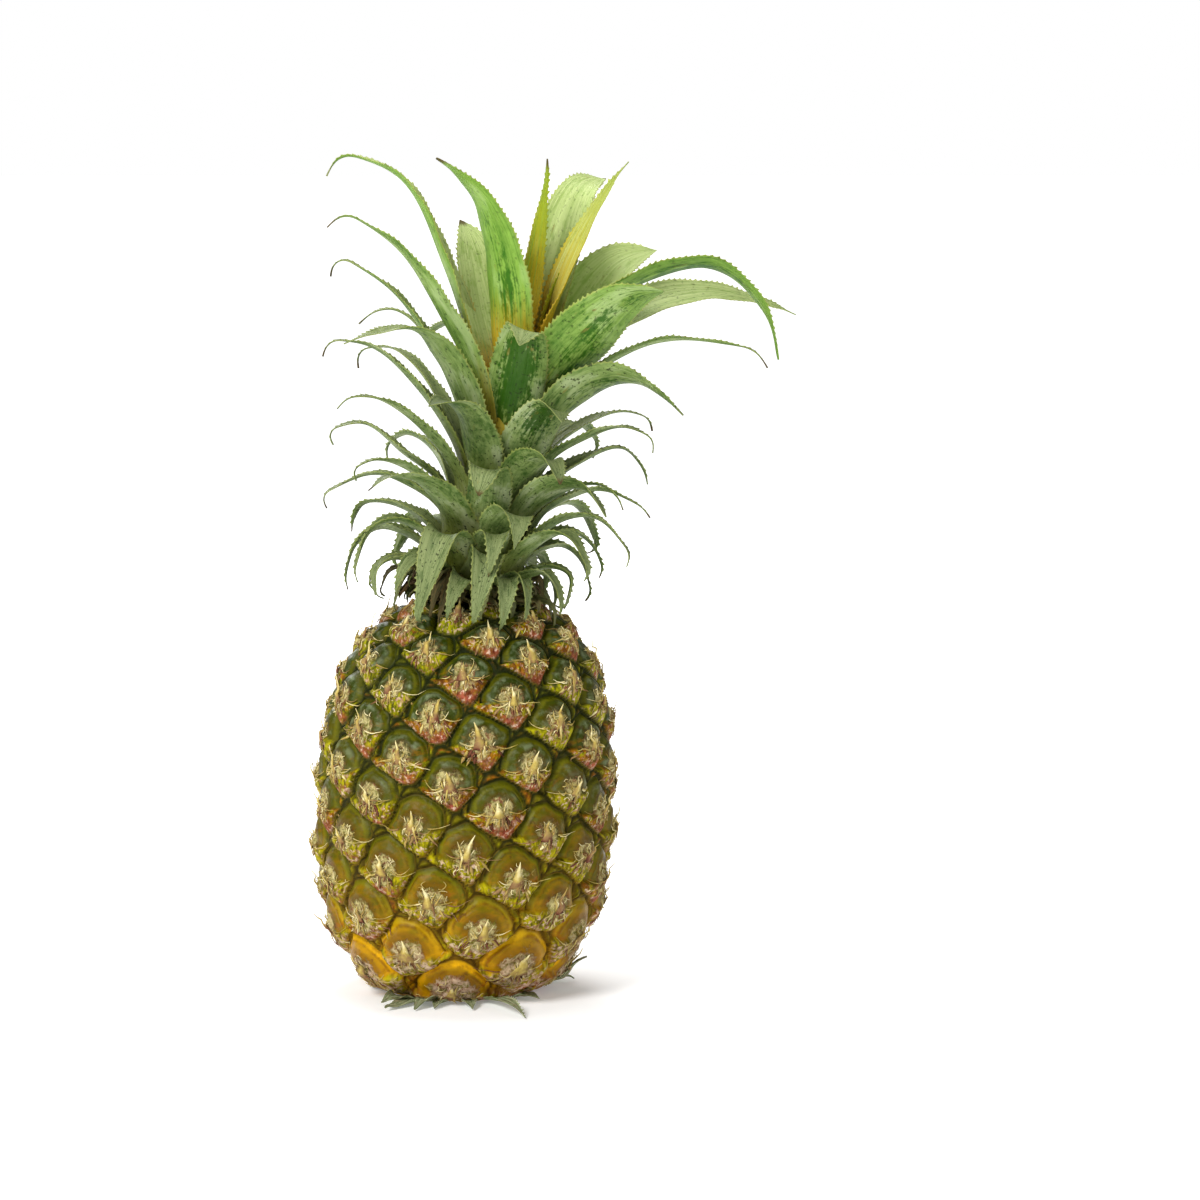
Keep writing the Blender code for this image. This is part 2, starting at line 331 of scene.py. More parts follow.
def make_piece(name, points, faces, chart, marks, finish):
    """A smooth piece from points in metres, with its flat chart for baking and its marks."""
    mesh = bpy.data.meshes.new(name)
    mesh.from_pydata(np.asarray(points).tolist(), [], faces)
    layer = mesh.uv_layers.new(name="OFBake")
    layer.uv.foreach_set("vector", np.asarray(chart, np.float32).ravel())
    for mark, values in marks.items():
        column = mesh.attributes.new(mark, "FLOAT", "POINT")
        column.data.foreach_set("value", np.asarray(values, np.float32).ravel())
    mesh.shade_smooth()
    mesh.materials.append(finish.material)
    piece = bpy.data.objects.new(name, mesh)
    bpy.context.scene.collection.objects.link(piece)
    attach(piece, "root")
    return piece


def grid_faces(rows, columns, first=0):
    """Quads over rows of points, closed round each row, and their chart places."""
    faces, chart = [], []
    for row in range(rows - 1):
        for column in range(columns):
            after = (column + 1) % columns
            low = first + row * columns
            high = low + columns
            faces.append((low + column, low + after, high + after, high + column))
            for right, above in ((0, 0), (1, 0), (1, 1), (0, 1)):
                chart.append((column + right, row + above))
    return faces, chart


skin_arcs = np.linspace(0, side_arc[-1], SKIN_ALONG)
skin_angles = np.linspace(0, 2 * math.pi, SKIN_AROUND, endpoint=False)
skin_points, skin_marks = [], []
for arc in skin_arcs:
    spots = np.full(SKIN_AROUND, arc)
    rise, marks = eye_relief(spots, skin_angles)
    skin_points.append(side_place(spots, skin_angles, rise))
    skin_marks.append(marks)
ring = np.stack([np.cos(skin_angles), np.sin(skin_angles), 0 * skin_angles], -1)
flat_radii = np.linspace(RECESS_RADIUS, side_radii[0], BASE_RINGS)[:-1]
base_rings = [ring * radius + (0, 0, RECESS_DEPTH) for radius in (CAP_RADIUS, RECESS_RADIUS)]
base_rings += [ring * radius for radius in flat_radii]
top_rings = [ring * radius + (0, 0, FRUIT_TOP) for radius in (TOP_RADIUS, CAP_RADIUS)]
all_rings = base_rings + skin_points + top_rings
ring_marks = [skin_marks[0]] * len(base_rings) + skin_marks + [skin_marks[-1]] * len(top_rings)
skin_values = {mark: np.concatenate([each[mark] for each in ring_marks]) for mark in marks}
faces, chart = grid_faces(len(all_rings), SKIN_AROUND)
last = (len(all_rings) - 1) * SKIN_AROUND
faces.append(tuple(range(SKIN_AROUND))[::-1])
faces.append(tuple(range(last, last + SKIN_AROUND)))
chart += [(0.5 + 0.4 * x, -1 + 0.4 * y) for x, y, _ in ring[::-1]]
chart += [(2.5 + 0.4 * x, -1 + 0.4 * y) for x, y, _ in ring]
chart = (np.array(chart) + (0, 2)) / (SKIN_AROUND, len(all_rings) + 1)

rind = Finish("pineapple_rind", Roughness=0.4, Specular_IOR_Level=0.10)
across, up = rind.mark("eye_across"), rind.mark("eye_up")
border, bract = rind.mark("eye_border"), rind.mark("eye_bract")
chance, height = rind.mark("eye_chance"), rind.mark("eye_height")
coarse, fine = rind.grain(90, 4), rind.grain(420, 5, roughness=0.65)
local = rind.vector(across * 2.2, up * 2.2, chance * 9)
patches = rind.grain(1.6, 4, local)
blots = rind.grain(2.4, 5, rind.vector(across * 1.3, up * 2.2, chance * 31), 0.6)
ripe = height + coarse.swing(0.3) + chance.swing(0.16)
ripe_stops = [(0.03, "be8a00"), (0.16, "987200"), (0.32, "785c00")]
ripe_stops += [(0.55, "4e4800"), (0.80, "303800"), (0.97, "222e02")]
# Thin paler and browner rings follow the upper border of each eye, golden where it is ripe.
ringed = (border * 3.1 + coarse * 5 + chance * 6).maths("SINE") * 0.5 + 0.5
dome_side = up.step(-0.25, 0.15) * border.step(0.5, 1.1)
rim = dome_side * (border + patches.swing(2)).step(3.4, 2.0)
lines = dome_side * border.step(6, 3) * ringed * (coarse + patches).step(0.85, 1.15)
greener = border.step(2.6, 4.2) * blots.step(0.65, 0.35) * height.step(0.02, 0.3)
# Painted shade darkens each dome just under its arch, most on the upper eyes, where the bract of the
# eye above overhangs it.
painted_arch_shade = dome_side * (border + patches.swing(1.5)).step(3.6, 0.4) * height.step(0.12, 0.42)
# Whitish scurf and a painted sheen lie over the waxy half, most on the upper eyes.
scurf_and_sheen = patches.step(0.42, 0.72) * height.step(0.3, 0.8) * border.step(1.8, 4)
tanned = (blots + coarse.swing(0.8)).step(0.56, 0.74) * up.step(0.6, 0.1)
flesh = rind.coats(
    rind.node("ShaderNodeValToRGB", {"stops": ripe_stops}, {0: ripe}),
    (
        rim * blots.step(0.2, 0.5) * (0.95 - height * 0.4),
        rind.mix(height.step(0.04, 0.34), "eeb000", "7c7a10"),
    ),
    (lines * 0.55, rind.mix(height.step(0.1, 0.4), "6e3200", "2c3000")),
    (greener * 0.6, rind.mix(height, "555a00", "1c3406")),
    (painted_arch_shade * 0.72, "141c00"),
    (scurf_and_sheen * 0.5, "8e9a74"),
    (tanned * 0.6, rind.mix(height, "9c5200", "6e5a08")),
)
# The bract's flesh is olive to yellow-green, streaked orange-brown, and crimson at its foot.
streaks = rind.grain(5, 4, rind.vector(across * 4 / (up + 2.4), up * 0.7, chance * 25), 0.6)
streaked = streaks.step(0.35, 0.65)
warmth = (blots + chance.swing(0.30)).step(0.50, 0.66)
foot = (up + patches.swing(0.5) + abs(across) * 0.35).step(-0.28, -0.62)
foot = foot * (blots + chance.swing(0.5)).step(0.36, 0.52)
low = height.step(0.30, 0.08)
papery = (rind.grain(3.4, 5, local) + low * 0.08).step(0.52, 0.62) * up.step(-0.10, -0.30)
bract_skin = rind.coats(
    rind.mix(streaked, "5a4c00", "b0a000"),
    (height * 0.7, rind.mix(streaked, "2c3e00", "929600")),
    (up.step(0.15, 0.5) * 0.75, rind.mix(height, "5e4c00", "263400")),
    (warmth * 0.85, rind.mix(streaks.step(0.35, 0.7), "5a2a00", "a05c08")),
    (foot * 0.75, rind.mix(fine.step(0.35, 0.65), "5c1c10", "a85444")),
    (papery * 0.8, rind.mix(fine.step(0.38, 0.62), "94634c", "dec2a8")),
)
# A dry whitish mat of dead flower parts covers the middle of the eye and runs down the bract,
# and the flesh is darker round it.
below = (up - 0.02).maths("MINIMUM", 0)
above = (up - 0.02).maths("MAXIMUM", 0)
spread = (across * across * 1.2 + above * above * 1.1 + below * below * 0.62) ** 0.5
matted = rind.grain(5.5, 5, rind.vector(across * 2, up * 1.3, chance * 20), 0.7)
mat_edge = spread + matted.swing(0.60) + patches.swing(0.6) - chance.swing(0.1)
fuzz = (mat_edge - low * 0.12).step(0.49, 0.33) * border.step(0.6, 1.6)
fuzz_low = rind.mix(blots.step(0.4, 0.6), "6c6a24", "7e5038")
fuzz_high = rind.mix(height.step(0.05, 0.25), "ccb096", "ccc082")
outlined = (spread - low * 0.12).step(0.68, 0.52) * border.step(1, 2.5) * up.step(-0.2, 0.1)
# Rust-brown flecks, and painted shade along the narrow groove, browner near the base.
flecks = rind.grain(260, 3).step(0.60, 0.70) * coarse.step(0.45, 0.60)
groove_shade = border + up.step(-0.05, -0.30) * 0.55 + coarse.swing(1.2)
groove_shade = groove_shade.step(1.25, 0.1)
tone = rind.coats(
    flesh,
    (bract, bract_skin),
    (outlined * 0.5, rind.mix(height, "6a3a02", "1c2400")),
    (fuzz * 0.9, rind.mix((matted + fine.swing(0.8)).step(0.34, 0.60), fuzz_low, fuzz_high)),
    (flecks * 0.6, "4a2a10"),
    (groove_shade * 0.88, rind.mix(height.step(0.05, 0.45), "3c2600", "141a00")),
)
rind.set(Base_Color=tone)
rind.set(Roughness=0.30 + bract * 0.25 + fuzz * 0.35 + fine * 0.15 + groove_shade * 0.25)
furrows = streaks * bract * 0.6 + matted * fuzz * 1.2 + lines * 0.25
rind.bump(fine * (0.25 + bract * 0.5 + fuzz * 0.5) + furrows + patches * 0.3, 0.0010, 0.8)

points = lean(np.concatenate(all_rings))
fruit = make_piece("fruit_skin", points, faces, chart, skin_values, rind)
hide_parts("fruit")

# ---- Dry bracts of the eyes ----
# Each bract ends in a straw-like point that stands off the fruit, a split tail below it and a
# thin dry margin to each side that frays into whiskers. The dead flower leaves a tuft of
# short pale fibres in the middle of the eye. All are dried parts of the rind itself.

STATIONS = 7
LOW_EYES, TIP_FULLNESS, LOW_TIP_FULLNESS = 36, 1.4, 1.7
LOWEST_EYES, FLAKES, LOWEST_FLAKES = 16, 9, 24
FEWEST_FIBRES, SPARE_FIBRES = 18, 18
stations = np.linspace(0, 1, STATIONS)
draw = np.random.default_rng(21)


def strand(eye, across, up, lift, width, thick, tone):
    """A dried shred on an eye: its course in eye radii, then lift, half width and depth in mm."""
    rows = [np.broadcast_to(values, STATIONS) for values in (across, up, lift, width, thick, tone)]
    return (eye, *rows)


def bract_tip(eye):
    reach = draw.uniform(0.50, 0.90)
    sway = draw.normal(0, 0.12)
    across = 0.05 * draw.normal() + sway * stations**2
    up = -0.24 + reach * stations
    lift = 0.5 + draw.uniform(0.8, 5.6) * stations**1.7
    fullness = LOW_TIP_FULLNESS if eye_heights[eye] < LOW_EYES else TIP_FULLNESS
    width = eye_radii[eye] * draw.uniform(0.10, 0.19) * fullness * (1 - stations) ** 1.25 + 0.12
    tone = 0.40 + 0.45 * stations + draw.normal(0, 0.10)
    return strand(eye, across, up, lift, width, 0.50 - 0.35 * stations, tone)


def tip_splinter(eye, side):
    """A strand torn loose beside the bract's point."""
    reach = draw.uniform(0.20, 0.55)
    across = side * (0.07 + draw.uniform(-0.05, 0.22) * stations) + 0.05 * draw.normal()
    up = -0.12 + reach * stations
    lift = 0.4 + draw.uniform(0.2, 2.0) * stations**1.5
    width = draw.uniform(0.25, 0.60) * (1 - stations) ** 0.9 + 0.06
    tone = 0.60 + 0.2 * stations + draw.normal(0, 0.12)
    return strand(eye, across, up, lift, width, 0.16, tone)


def split_tail(eye, side):
    reach = draw.uniform(0.35, 0.75)
    across = side * (0.03 + 0.12 * stations * draw.uniform(-0.3, 1.3)) + 0.04 * draw.normal()
    up = 0.02 - reach * stations
    lift = 0.3 + 0.4 * np.sin(math.pi * stations) + draw.uniform(0, 0.7) * stations
    width = draw.uniform(0.25, 0.75) * (1 - stations) ** 0.7 + 0.08
    tone = 0.66 - 0.25 * stations + draw.normal(0, 0.10)
    return strand(eye, across, up, lift, width, 0.18, tone)


def margin_whisker(eye, side):
    """The bract's thin dry margin, drawn out to the side and curling up at its end."""
    start, reach = draw.uniform(0.10, 0.50), draw.uniform(0.25, 0.75)
    across = side * (start + reach * stations)
    sag, curl = draw.uniform(0.0, 0.12), draw.normal(0.03, 0.09)
    up = -0.10 - sag * np.sin(math.pi * stations) + curl * stations**2 + draw.normal(0, 0.03)
    lift = 0.45 + 0.2 * np.sin(math.pi * stations) + max(draw.normal(0.2, 0.9), 0) * stations**3
    width = draw.uniform(0.10, 0.34) * (1 - stations) ** 0.8 + 0.06
    tone = 0.60 + 0.1 * stations + draw.normal(0, 0.14)
    return strand(eye, across, up, lift, width, 0.15, tone)


def fuzz_fibre(eye):
    """One short fibre of the mat, lying any way round."""
    turn = draw.normal(-math.pi / 2, 1.9)
    reach = draw.uniform(0.08, 0.26)
    veer = draw.normal(0, 0.06) * np.sin(math.pi * stations)
    across = draw.normal(0, 0.20) + math.cos(turn) * reach * stations + veer * math.sin(turn)
    up = draw.uniform(-0.45, 0.38) + math.sin(turn) * reach * stations - veer * math.cos(turn)
    up = up + 0.12 * (eye_random[eye, 7] - 0.5)
    lift = 0.1 + draw.uniform(0.0, 0.7) * np.sin(2.6 * stations)
    lift = lift + max(draw.normal(-0.4, 0.7), 0) * stations
    width = draw.uniform(0.05, 0.20) * (1 - stations) ** 0.5 + 0.05
    tone = 0.76 + draw.normal(0, 0.18)
    return strand(eye, across, up, lift, width, 0.13, tone)


def papery_shred(eye):
    """A torn flake of the bract's dry film, pointed at both ends."""
    start = draw.normal(0, 0.26)
    across = start * (1 + 0.5 * stations) + 0.06 * draw.normal() * stations
    up = -0.16 - 0.22 * draw.random() - draw.uniform(0.10, 0.42) * stations
    lift = 0.05 + draw.uniform(0.0, 1.0) * stations**2
    width = draw.uniform(0.2, 0.8) * np.sin(math.pi * (0.12 + 0.88 * stations)) ** 0.8 + 0.05
    tone = 0.50 + draw.normal(0, 0.15)
    return strand(eye, across, up, lift, width, 0.12, tone)


def unit(vectors):
    return vectors / np.maximum(np.linalg.norm(vectors, axis=-1, keepdims=True), 1e-6)


def make_strands(name, strands, finish):
    """Lays the shreds on the finished skin as thin four-sided spindles, all in one piece."""
    eye = np.array([each[0] for each in strands])[:, None]
    across, up, lift, width, thick, tone = (np.array([s[i] for s in strands]) for i in range(1, 7))
    arc = np.clip(eye_arcs[eye] + up * eye_radii[eye], 0.5, side_arc[-1] - 0.5)
    angle = eye_angles[eye] + across * eye_radii[eye] / np.interp(arc, side_arc, side_radii)
    rise, _ = eye_relief(arc.ravel(), angle.ravel())
    lift = lift + np.maximum(rise.reshape(arc.shape), -1.2)
    course = side_place(arc, angle, lift)
    out = unit(side_place(arc, angle, lift + 1) - course)
    aside = unit(np.cross(np.gradient(course, axis=1), out))
    wide, deep = aside * width[..., None], out * thick[..., None]
    rings = np.stack([course + wide, course + deep, course - wide, course - deep], axis=2)
    rings[..., 2] = np.maximum(rings[..., 2], 0.15)
    faces, chart = [], []
    cap_square = ((0, 0), (0.5, 0), (0.5, 0.5), (0, 0.5))
    cells = math.ceil(math.sqrt(len(strands)))
    for number in range(len(strands)):
        first = number * STATIONS * 4
        body, body_chart = grid_faces(STATIONS, 4, first)
        last = first + (STATIONS - 1) * 4
        body += [(first + 3, first + 2, first + 1, first), (last, last + 1, last + 2, last + 3)]
        for left in (0, 2):
            body_chart += [(left + x, STATIONS + y) for x, y in cap_square]
        shift = (number % cells, number // cells)
        faces += body
        chart.append((np.array(body_chart) / (4.6, STATIONS + 1) * 0.96 + shift) / cells)
    marks = {
        "strand_tone": np.broadcast_to(tone[..., None], rings.shape[:3]),
        "strand_edge": np.broadcast_to(np.array([1.0, 0, 1, 0]), rings.shape[:3]),
    }
    points = lean(rings.reshape(-1, 3))
    return make_piece(name, points, faces, np.concatenate(chart), marks, finish)


straw = Finish("dry_straw", Roughness=0.75, Specular_IOR_Level=0.15)
straw_stops = [(0.08, "38200a"), (0.26, "744430"), (0.42, "8f7048")]
straw_stops += [(0.62, "b8a250"), (0.90, "eee2ae")]
straw_tone = straw.mark("strand_tone") + straw.grain(300, 4).swing(0.8)
straw_tone = straw_tone - straw.mark("strand_edge") * 0.08
straw.set(Base_Color=straw.node("ShaderNodeValToRGB", {"stops": straw_stops}, {0: straw_tone}))
straw.bump(straw.grain(900, 3), 0.0003, 0.6)

shown = np.flatnonzero((eye_heights > 1.0) & (eye_heights < FRUIT_TOP - 0.5))
tips, margins, tufts = [], [], []
for eye in shown:
    tips += [bract_tip(eye), split_tail(eye, -1), split_tail(eye, 1)]
    tips += [tip_splinter(eye, side) for side in (-1, 1, -1, 1)]
    margins += [margin_whisker(eye, side) for side in (-1, 1, -1, 1)]
    flakes = FLAKES if eye_heights[eye] > LOWEST_EYES else LOWEST_FLAKES
    margins += [papery_shred(eye) for _ in range(flakes)]
    fibres = int(FEWEST_FIBRES + SPARE_FIBRES * eye_random[eye, 5])
    tufts += [fuzz_fibre(eye) for _ in range(fibres)]
make_strands("eye_bract_tips", tips, straw)
make_strands("eye_bract_margins", margins, straw)
make_strands("eye_flower_tufts", tufts, straw)

# ---- Crown leaves ----
# Stiff channelled blades that clasp the crown's stem in nested shells, lowest and oldest
# outside. Each is a closed blade that thins to its margins, which carry small hooked teeth.

CROWN_LEAN = math.radians(12)
CROWN_PLACE = np.array([6, 0, FRUIT_TOP + 0.3])
CROWN_STEM_LENGTH, CROWN_STEM_RADII = 84, (15, 3)
TOOTH_SPACING, FULL_TOOTH_LENGTH = 2.3, 45
PLAIN_FULLNESS, HOOKED_BELOW, ROUND_ABOVE = 2.2, 2.5, 3
CURL_START, SLIGHT_CURL = 0.88, 0.2
BLADE_THICKNESS, MARGIN_THINNING = 0.60, 0.46
HEART_FROM, FIRST_SEED = 53, 100
ACROSS = np.array([-1, -0.93, -0.72, -0.38, 0, 0.38, 0.72, 0.93, 1])

# One line a leaf, lowest first: azimuth in degrees (0 is right, -90 front), greatest width,
# height on the stem, then the course of its midrib as (out, up) from the crown's axis, in mm.
LEAVES = [
    (-87, 14, 4, (24, 18), (33, 22), (39, 15), (42, -1)),
    (-70, 11, 2, (23, 11), (32, 14), (37, 8), (39, -2)),
    (-10, 9, 3, (18, 14), (28, 20), (37, 17), (37, 9)),
    (-150, 9, 3, (24, 10), (38, 12), (46, 6), (44, -2)),
    (175, 11, 5, (23, 17), (41, 21), (51, 11), (52, -4)),
    (-118, 17, 7, (19, 17), (30, 26), (38, 22), (42, -6)),
    (15, 11, 7, (18, 20), (30, 28), (41, 23), (47, 12)),
    (132, 13, 8, (22, 21), (34, 27), (46, 22), (52, 8)),
    (-44, 13, 7, (20, 21), (34, 34), (47, 35), (58, 26)),
    (-165, 12, 9, (24, 22), (38, 26), (48, 18), (50, 2)),
    (72, 14, 11, (20, 25), (34, 34), (47, 29), (54, 14)),
    (-21, 12, 11, (19, 28), (32, 41), (47, 43), (61, 33)),
    (162, 12, 12, (24, 25), (40, 30), (54, 27), (57, 18)),
    (-74, 18, 14, (18, 30), (30, 39), (41, 38), (44, 27)),
    (108, 16, 15, (20, 31), (34, 41), (49, 39), (58, 26)),
    (40, 14, 17, (18, 33), (31, 43), (46, 42), (57, 30)),
    (-130, 18, 17, (20, 31), (40, 44), (62, 46), (75, 40)),
    (-1, 12, 16, (19, 38), (30, 49), (43, 54), (60, 50)),
    (172, 12, 19, (20, 33), (36, 40), (52, 40), (67, 29)),
    (82, 16, 21, (20, 39), (33, 51), (50, 53), (62, 42)),
    (-100, 17, 22, (17, 41), (24, 53), (33, 54), (35, 44)),
    (-38, 14, 20, (17, 40), (28, 52), (43, 55), (57, 47)),
    (-63, 16, 28, (14, 47), (25, 60), (40, 64), (54, 57)),
    (178, 12, 28, (23, 44), (39, 52), (57, 60), (68, 55)),
    (108, 18, 30, (19, 48), (32, 64), (49, 69), (62, 61)),
    (14, 12, 30, (19, 50), (33, 64), (48, 71), (60, 62)),
    (56, 16, 33, (18, 53), (32, 69), (50, 75), (65, 68)),
    (-150, 13, 32, (20, 50), (39, 65), (60, 73), (75, 71)),
    (-125, 19, 36, (15, 55), (25, 70), (40, 78), (56, 76)),
    (-15, 12, 36, (18, 60), (31, 73), (46, 81), (58, 79)),
    (-62, 19, 40, (15, 58), (22, 74), (32, 83), (43, 80)),
    (150, 13, 40, (21, 60), (40, 80), (60, 90), (76, 86)),
    (25, 10, 42, (17, 62), (33, 78), (48, 85), (60, 84)),
    (85, 18, 42, (17, 62), (27, 88), (42, 106), (60, 104)),
    (-174, 13, 43, (22, 63), (40, 80), (60, 91), (77, 90)),
    (-31, 20, 47, (15, 72), (32, 94), (52, 101), (77, 93)),
    (124, 17, 48, (13, 71), (32, 96), (54, 105), (72, 98)),
    (-140, 17, 49, (17, 67), (36, 91), (58, 103), (90, 94)),
    (162, 12, 46, (21, 73), (40, 97), (57, 106), (70, 101)),
    (-94, 20, 52, (12, 78), (18, 98), (28, 111), (39, 106)),
    (-6, 11, 53, (13, 80), (34, 105), (58, 119), (93, 122)),
    (-178, 13, 53, (18, 77), (34, 94), (56, 114), (79, 123)),
    (-162, 17, 57, (17, 86), (37, 111), (60, 132), (86, 142)),
    (31, 19, 60, (12, 88), (38, 121), (76, 138), (123, 138)),
    (-44, 23, 60, (11, 86), (28, 111), (46, 130), (66, 139)),
    (92, 16, 59, (14, 83), (26, 110), (41, 133), (60, 140)),
    (0, 18, 64, (9, 96), (30, 131), (62, 150), (86, 141), (101, 120)),
    (170, 17, 64, (17, 92), (38, 128), (63, 158), (93, 163)),
    (36, 25, 66, (10, 94), (20, 117), (33, 141), (53, 152)),
    (-138, 21, 69, (9, 98), (20, 130), (38, 156), (65, 171)),
    (138, 24, 70, (11, 94), (26, 118), (39, 137), (49, 147)),
    (68, 20, 74, (5, 110), (10, 142), (20, 168), (46, 176)),
    (-14, 15, 77, (6, 108), (8, 130), (14, 156), (24, 184)),
    (-150, 11, 80, (4, 112), (5, 140), (7, 178)),
]


def leaf_course(base, course, count):
    """Evenly spaced (out, up) on a smooth curve, from the stem at base if one is given."""
    if base is not None:
        low, high = CROWN_STEM_RADII
        course = [(low + (high - low) * base / CROWN_STEM_LENGTH + 1.2, base), *course]
    knots = np.array(course, float)
    knots = np.array([2 * knots[0] - knots[1], *knots, 2 * knots[-1] - knots[-2]])
    share = np.linspace(0, 1, 14, endpoint=False)[:, None]
    fine = []
    for a, b, c, d in zip(knots, knots[1:], knots[2:], knots[3:]):
        cubic = (3 * b - a - 3 * c + d) * share**3
        fine.append(0.5 * (2 * b + (c - a) * share + (2 * a - 5 * b + 4 * c - d) * share**2 + cubic))
    fine = np.concatenate([*fine, knots[-2:-1]])
    length = np.concatenate([[0], np.linalg.norm(np.diff(fine, axis=0), axis=1).cumsum()])
    even = np.linspace(0, length[-1], count)
    return np.stack([np.interp(even, length, fine[:, i]) for i in (0, 1)], 1), length[-1]


def crown_to_fruit(points):
    """From the crown's own axes, in mm, to the fruit's, in metres."""
    x, y, z = points[..., 0], points[..., 1], points[..., 2]
    cos, sin = math.cos(CROWN_LEAN), math.sin(CROWN_LEAN)
    return (np.stack([x * cos + z * sin, y, z * cos - x * sin], -1) + CROWN_PLACE) * MM


def leaf_blade(azimuth, width, base, course, form, dice):
    """Rings of points across a blade, foot to tip; form is its end's fullness, roll and curl."""
    fullness, twist, curl = form
    _, length = leaf_course(base, course, 20)
    teeth = max(int(length / TOOTH_SPACING), 6)
    count = 3 * teeth + 1
    middle, _ = leaf_course(base, course, count)
    share = np.linspace(0, 1, count)
    bow = curl * smooth(share[1:], CURL_START, 1.0)
    steps = np.diff(middle, axis=0)
    steps = np.stack([
        steps[:, 0] * np.cos(bow) + steps[:, 1] * np.sin(bow),
        steps[:, 1] * np.cos(bow) - steps[:, 0] * np.sin(bow),
    ], 1)
    middle = np.concatenate([middle[:1], middle[0] + steps.cumsum(0)])
    slope = unit(np.gradient(middle, axis=0))
    azimuth = math.radians(azimuth)
    out = np.array([math.cos(azimuth), math.sin(azimuth), 0])
    aside = np.array([-math.sin(azimuth), math.cos(azimuth), 0])
    along = slope[:, :1] * out + slope[:, 1:] * (0, 0, 1)
    above = -slope[:, 1:] * out + slope[:, :1] * (0, 0, 1)
    roll = math.radians(twist) * smooth(share, 0.1, 0.6)
    roll = roll + math.radians(dice.normal(0, 7)) * share**1.5
    roll = roll + math.radians(5) * np.sin(share * 7 + dice.uniform(0, 6))
    cos, sin = np.cos(roll)[:, None], np.sin(roll)[:, None]
    aside, above = aside * cos + above * sin, above * cos - aside * sin
    taper = np.clip(1 - share**fullness, 0, 1) ** (1.0 if fullness > ROUND_ABOVE else 1.35)
    half = width * 0.62 * (0.66 + 0.34 * np.sin(math.pi / 2 * np.minimum(share / 0.5, 1))) * taper
    half = half * (1 + 0.6 * smooth(share, 0.25, 0)) + 0.25
    bend = 0.75 + 0.2 * dice.normal() * share
    bend = bend * (1 - 0.45 * smooth(share, 0.45, 1))
    clasp = np.minimum(half / middle[:, 0], 1.25)
    bend = bend + (clasp - bend) * smooth(share, 0.28, 0.05)
    bend = np.maximum(bend, 0.15)
    tooth = np.zeros(count)
    tooth[1::3] = dice.uniform(0.3, 0.95, teeth) * min(length / FULL_TOOTH_LENGTH, 1) ** 2
    tooth *= smooth(share, 0.12, 0.3) * smooth(share, 1.0, 0.9)
    ripple = 0.30 * np.sin(share * length / 3.6 + dice.uniform(0, 6)) * smooth(share, 0.2, 0.5)
    rings = np.zeros((count, 2, len(ACROSS), 3))
    for i, t in enumerate(ACROSS):
        arc_turn = bend * t
        side = half * np.sin(arc_turn) / bend
        rise = half * (1 - np.cos(arc_turn)) / bend - half * bend * 0.16
        rise = rise + ripple * t**2 * (1 if t > 0 else -1)
        tangent = np.cos(arc_turn)[:, None] * aside + np.sin(arc_turn)[:, None] * above
        normal = np.cos(arc_turn)[:, None] * above - np.sin(arc_turn)[:, None] * aside
        spot = middle[:, :1] * out + middle[:, 1:] * (0, 0, 1)
        spot = spot + side[:, None] * aside + rise[:, None] * above
        if abs(t) == 1:
            spot = spot + (tooth * t)[:, None] * tangent + (tooth * 0.8)[:, None] * along
        thick = (BLADE_THICKNESS - MARGIN_THINNING * t * t) * (1 - 0.55 * share) + 0.02
        rings[:, 0, i] = spot + thick[:, None] * normal
        rings[:, 1, i] = spot - thick[:, None] * normal
    return rings, share


def leaf_parts(line, form, youth, dry, rubs, seed, place=crown_to_fruit):
    """One leaf's points in metres, faces, chart within a unit square, and marks."""
    azimuth, width, base, *course = line
    dice = np.random.default_rng(seed)
    rings, share = leaf_blade(azimuth, width, base, course, form, dice)
    count, wide = len(share), len(ACROSS)
    rings = np.concatenate([rings[:, 0], rings[:, 1, ::-1]], axis=1)
    across = np.concatenate([ACROSS, ACROSS[::-1]])
    rubbed = np.zeros((count, 2 * wide))
    for at_share, at_across, long, broad, strength in rubs:
        far = ((share[:, None] - at_share) / long) ** 2 + ((across - at_across) / broad) ** 2
        rubbed = np.maximum(rubbed, strength * np.exp(-far))
    marks = {
        "blade_along": np.repeat(share[:, None], 2 * wide, 1),
        "blade_across": np.repeat(across[None], count, 0),
        "blade_inner": np.repeat(np.repeat([1.0, 0.0], wide)[None], count, 0),
        "blade_rub": rubbed,
    }
    for mark, value in (("youth", youth), ("dry", dry), ("chance", dice.random())):
        marks[f"blade_{mark}"] = np.full((count, 2 * wide), value)
    faces, chart = grid_faces(count, 2 * wide)
    last = (count - 1) * 2 * wide
    faces.append(tuple(range(2 * wide))[::-1])
    faces.append(tuple(range(last, last + 2 * wide)))
    turns = np.linspace(0, 2 * math.pi, 2 * wide, False)
    cap = np.array([(math.cos(turn), math.sin(turn)) for turn in turns])
    chart += [*(cap[::-1] * 0.4 + (2, -0.6)), *(cap * 0.4 + (6, -0.6))]
    chart = (np.array(chart) + (0, 1.2)) / (2 * wide, count + 1.2)
    return place(rings.reshape(-1, 3)), faces, chart, marks


def make_leaves(name, leaves, finish):
    """One piece from the parts of one leaf or of several."""
    cells = math.ceil(math.sqrt(len(leaves)))
    points, faces, chart = [], [], []
    first = 0
    for number, (leaf_points, leaf_faces, leaf_chart, _) in enumerate(leaves):
        faces += [tuple(first + corner for corner in face) for face in leaf_faces]
        chart.append((leaf_chart * 0.97 + (number % cells, number // cells)) / cells)
        points.append(leaf_points)
        first += len(leaf_points)
    marks = {key: np.concatenate([leaf[3][key].ravel() for leaf in leaves]) for key in leaves[0][3]}
    chart = np.concatenate(chart)
    return make_piece(name, np.concatenate(points), faces, chart, marks, finish)


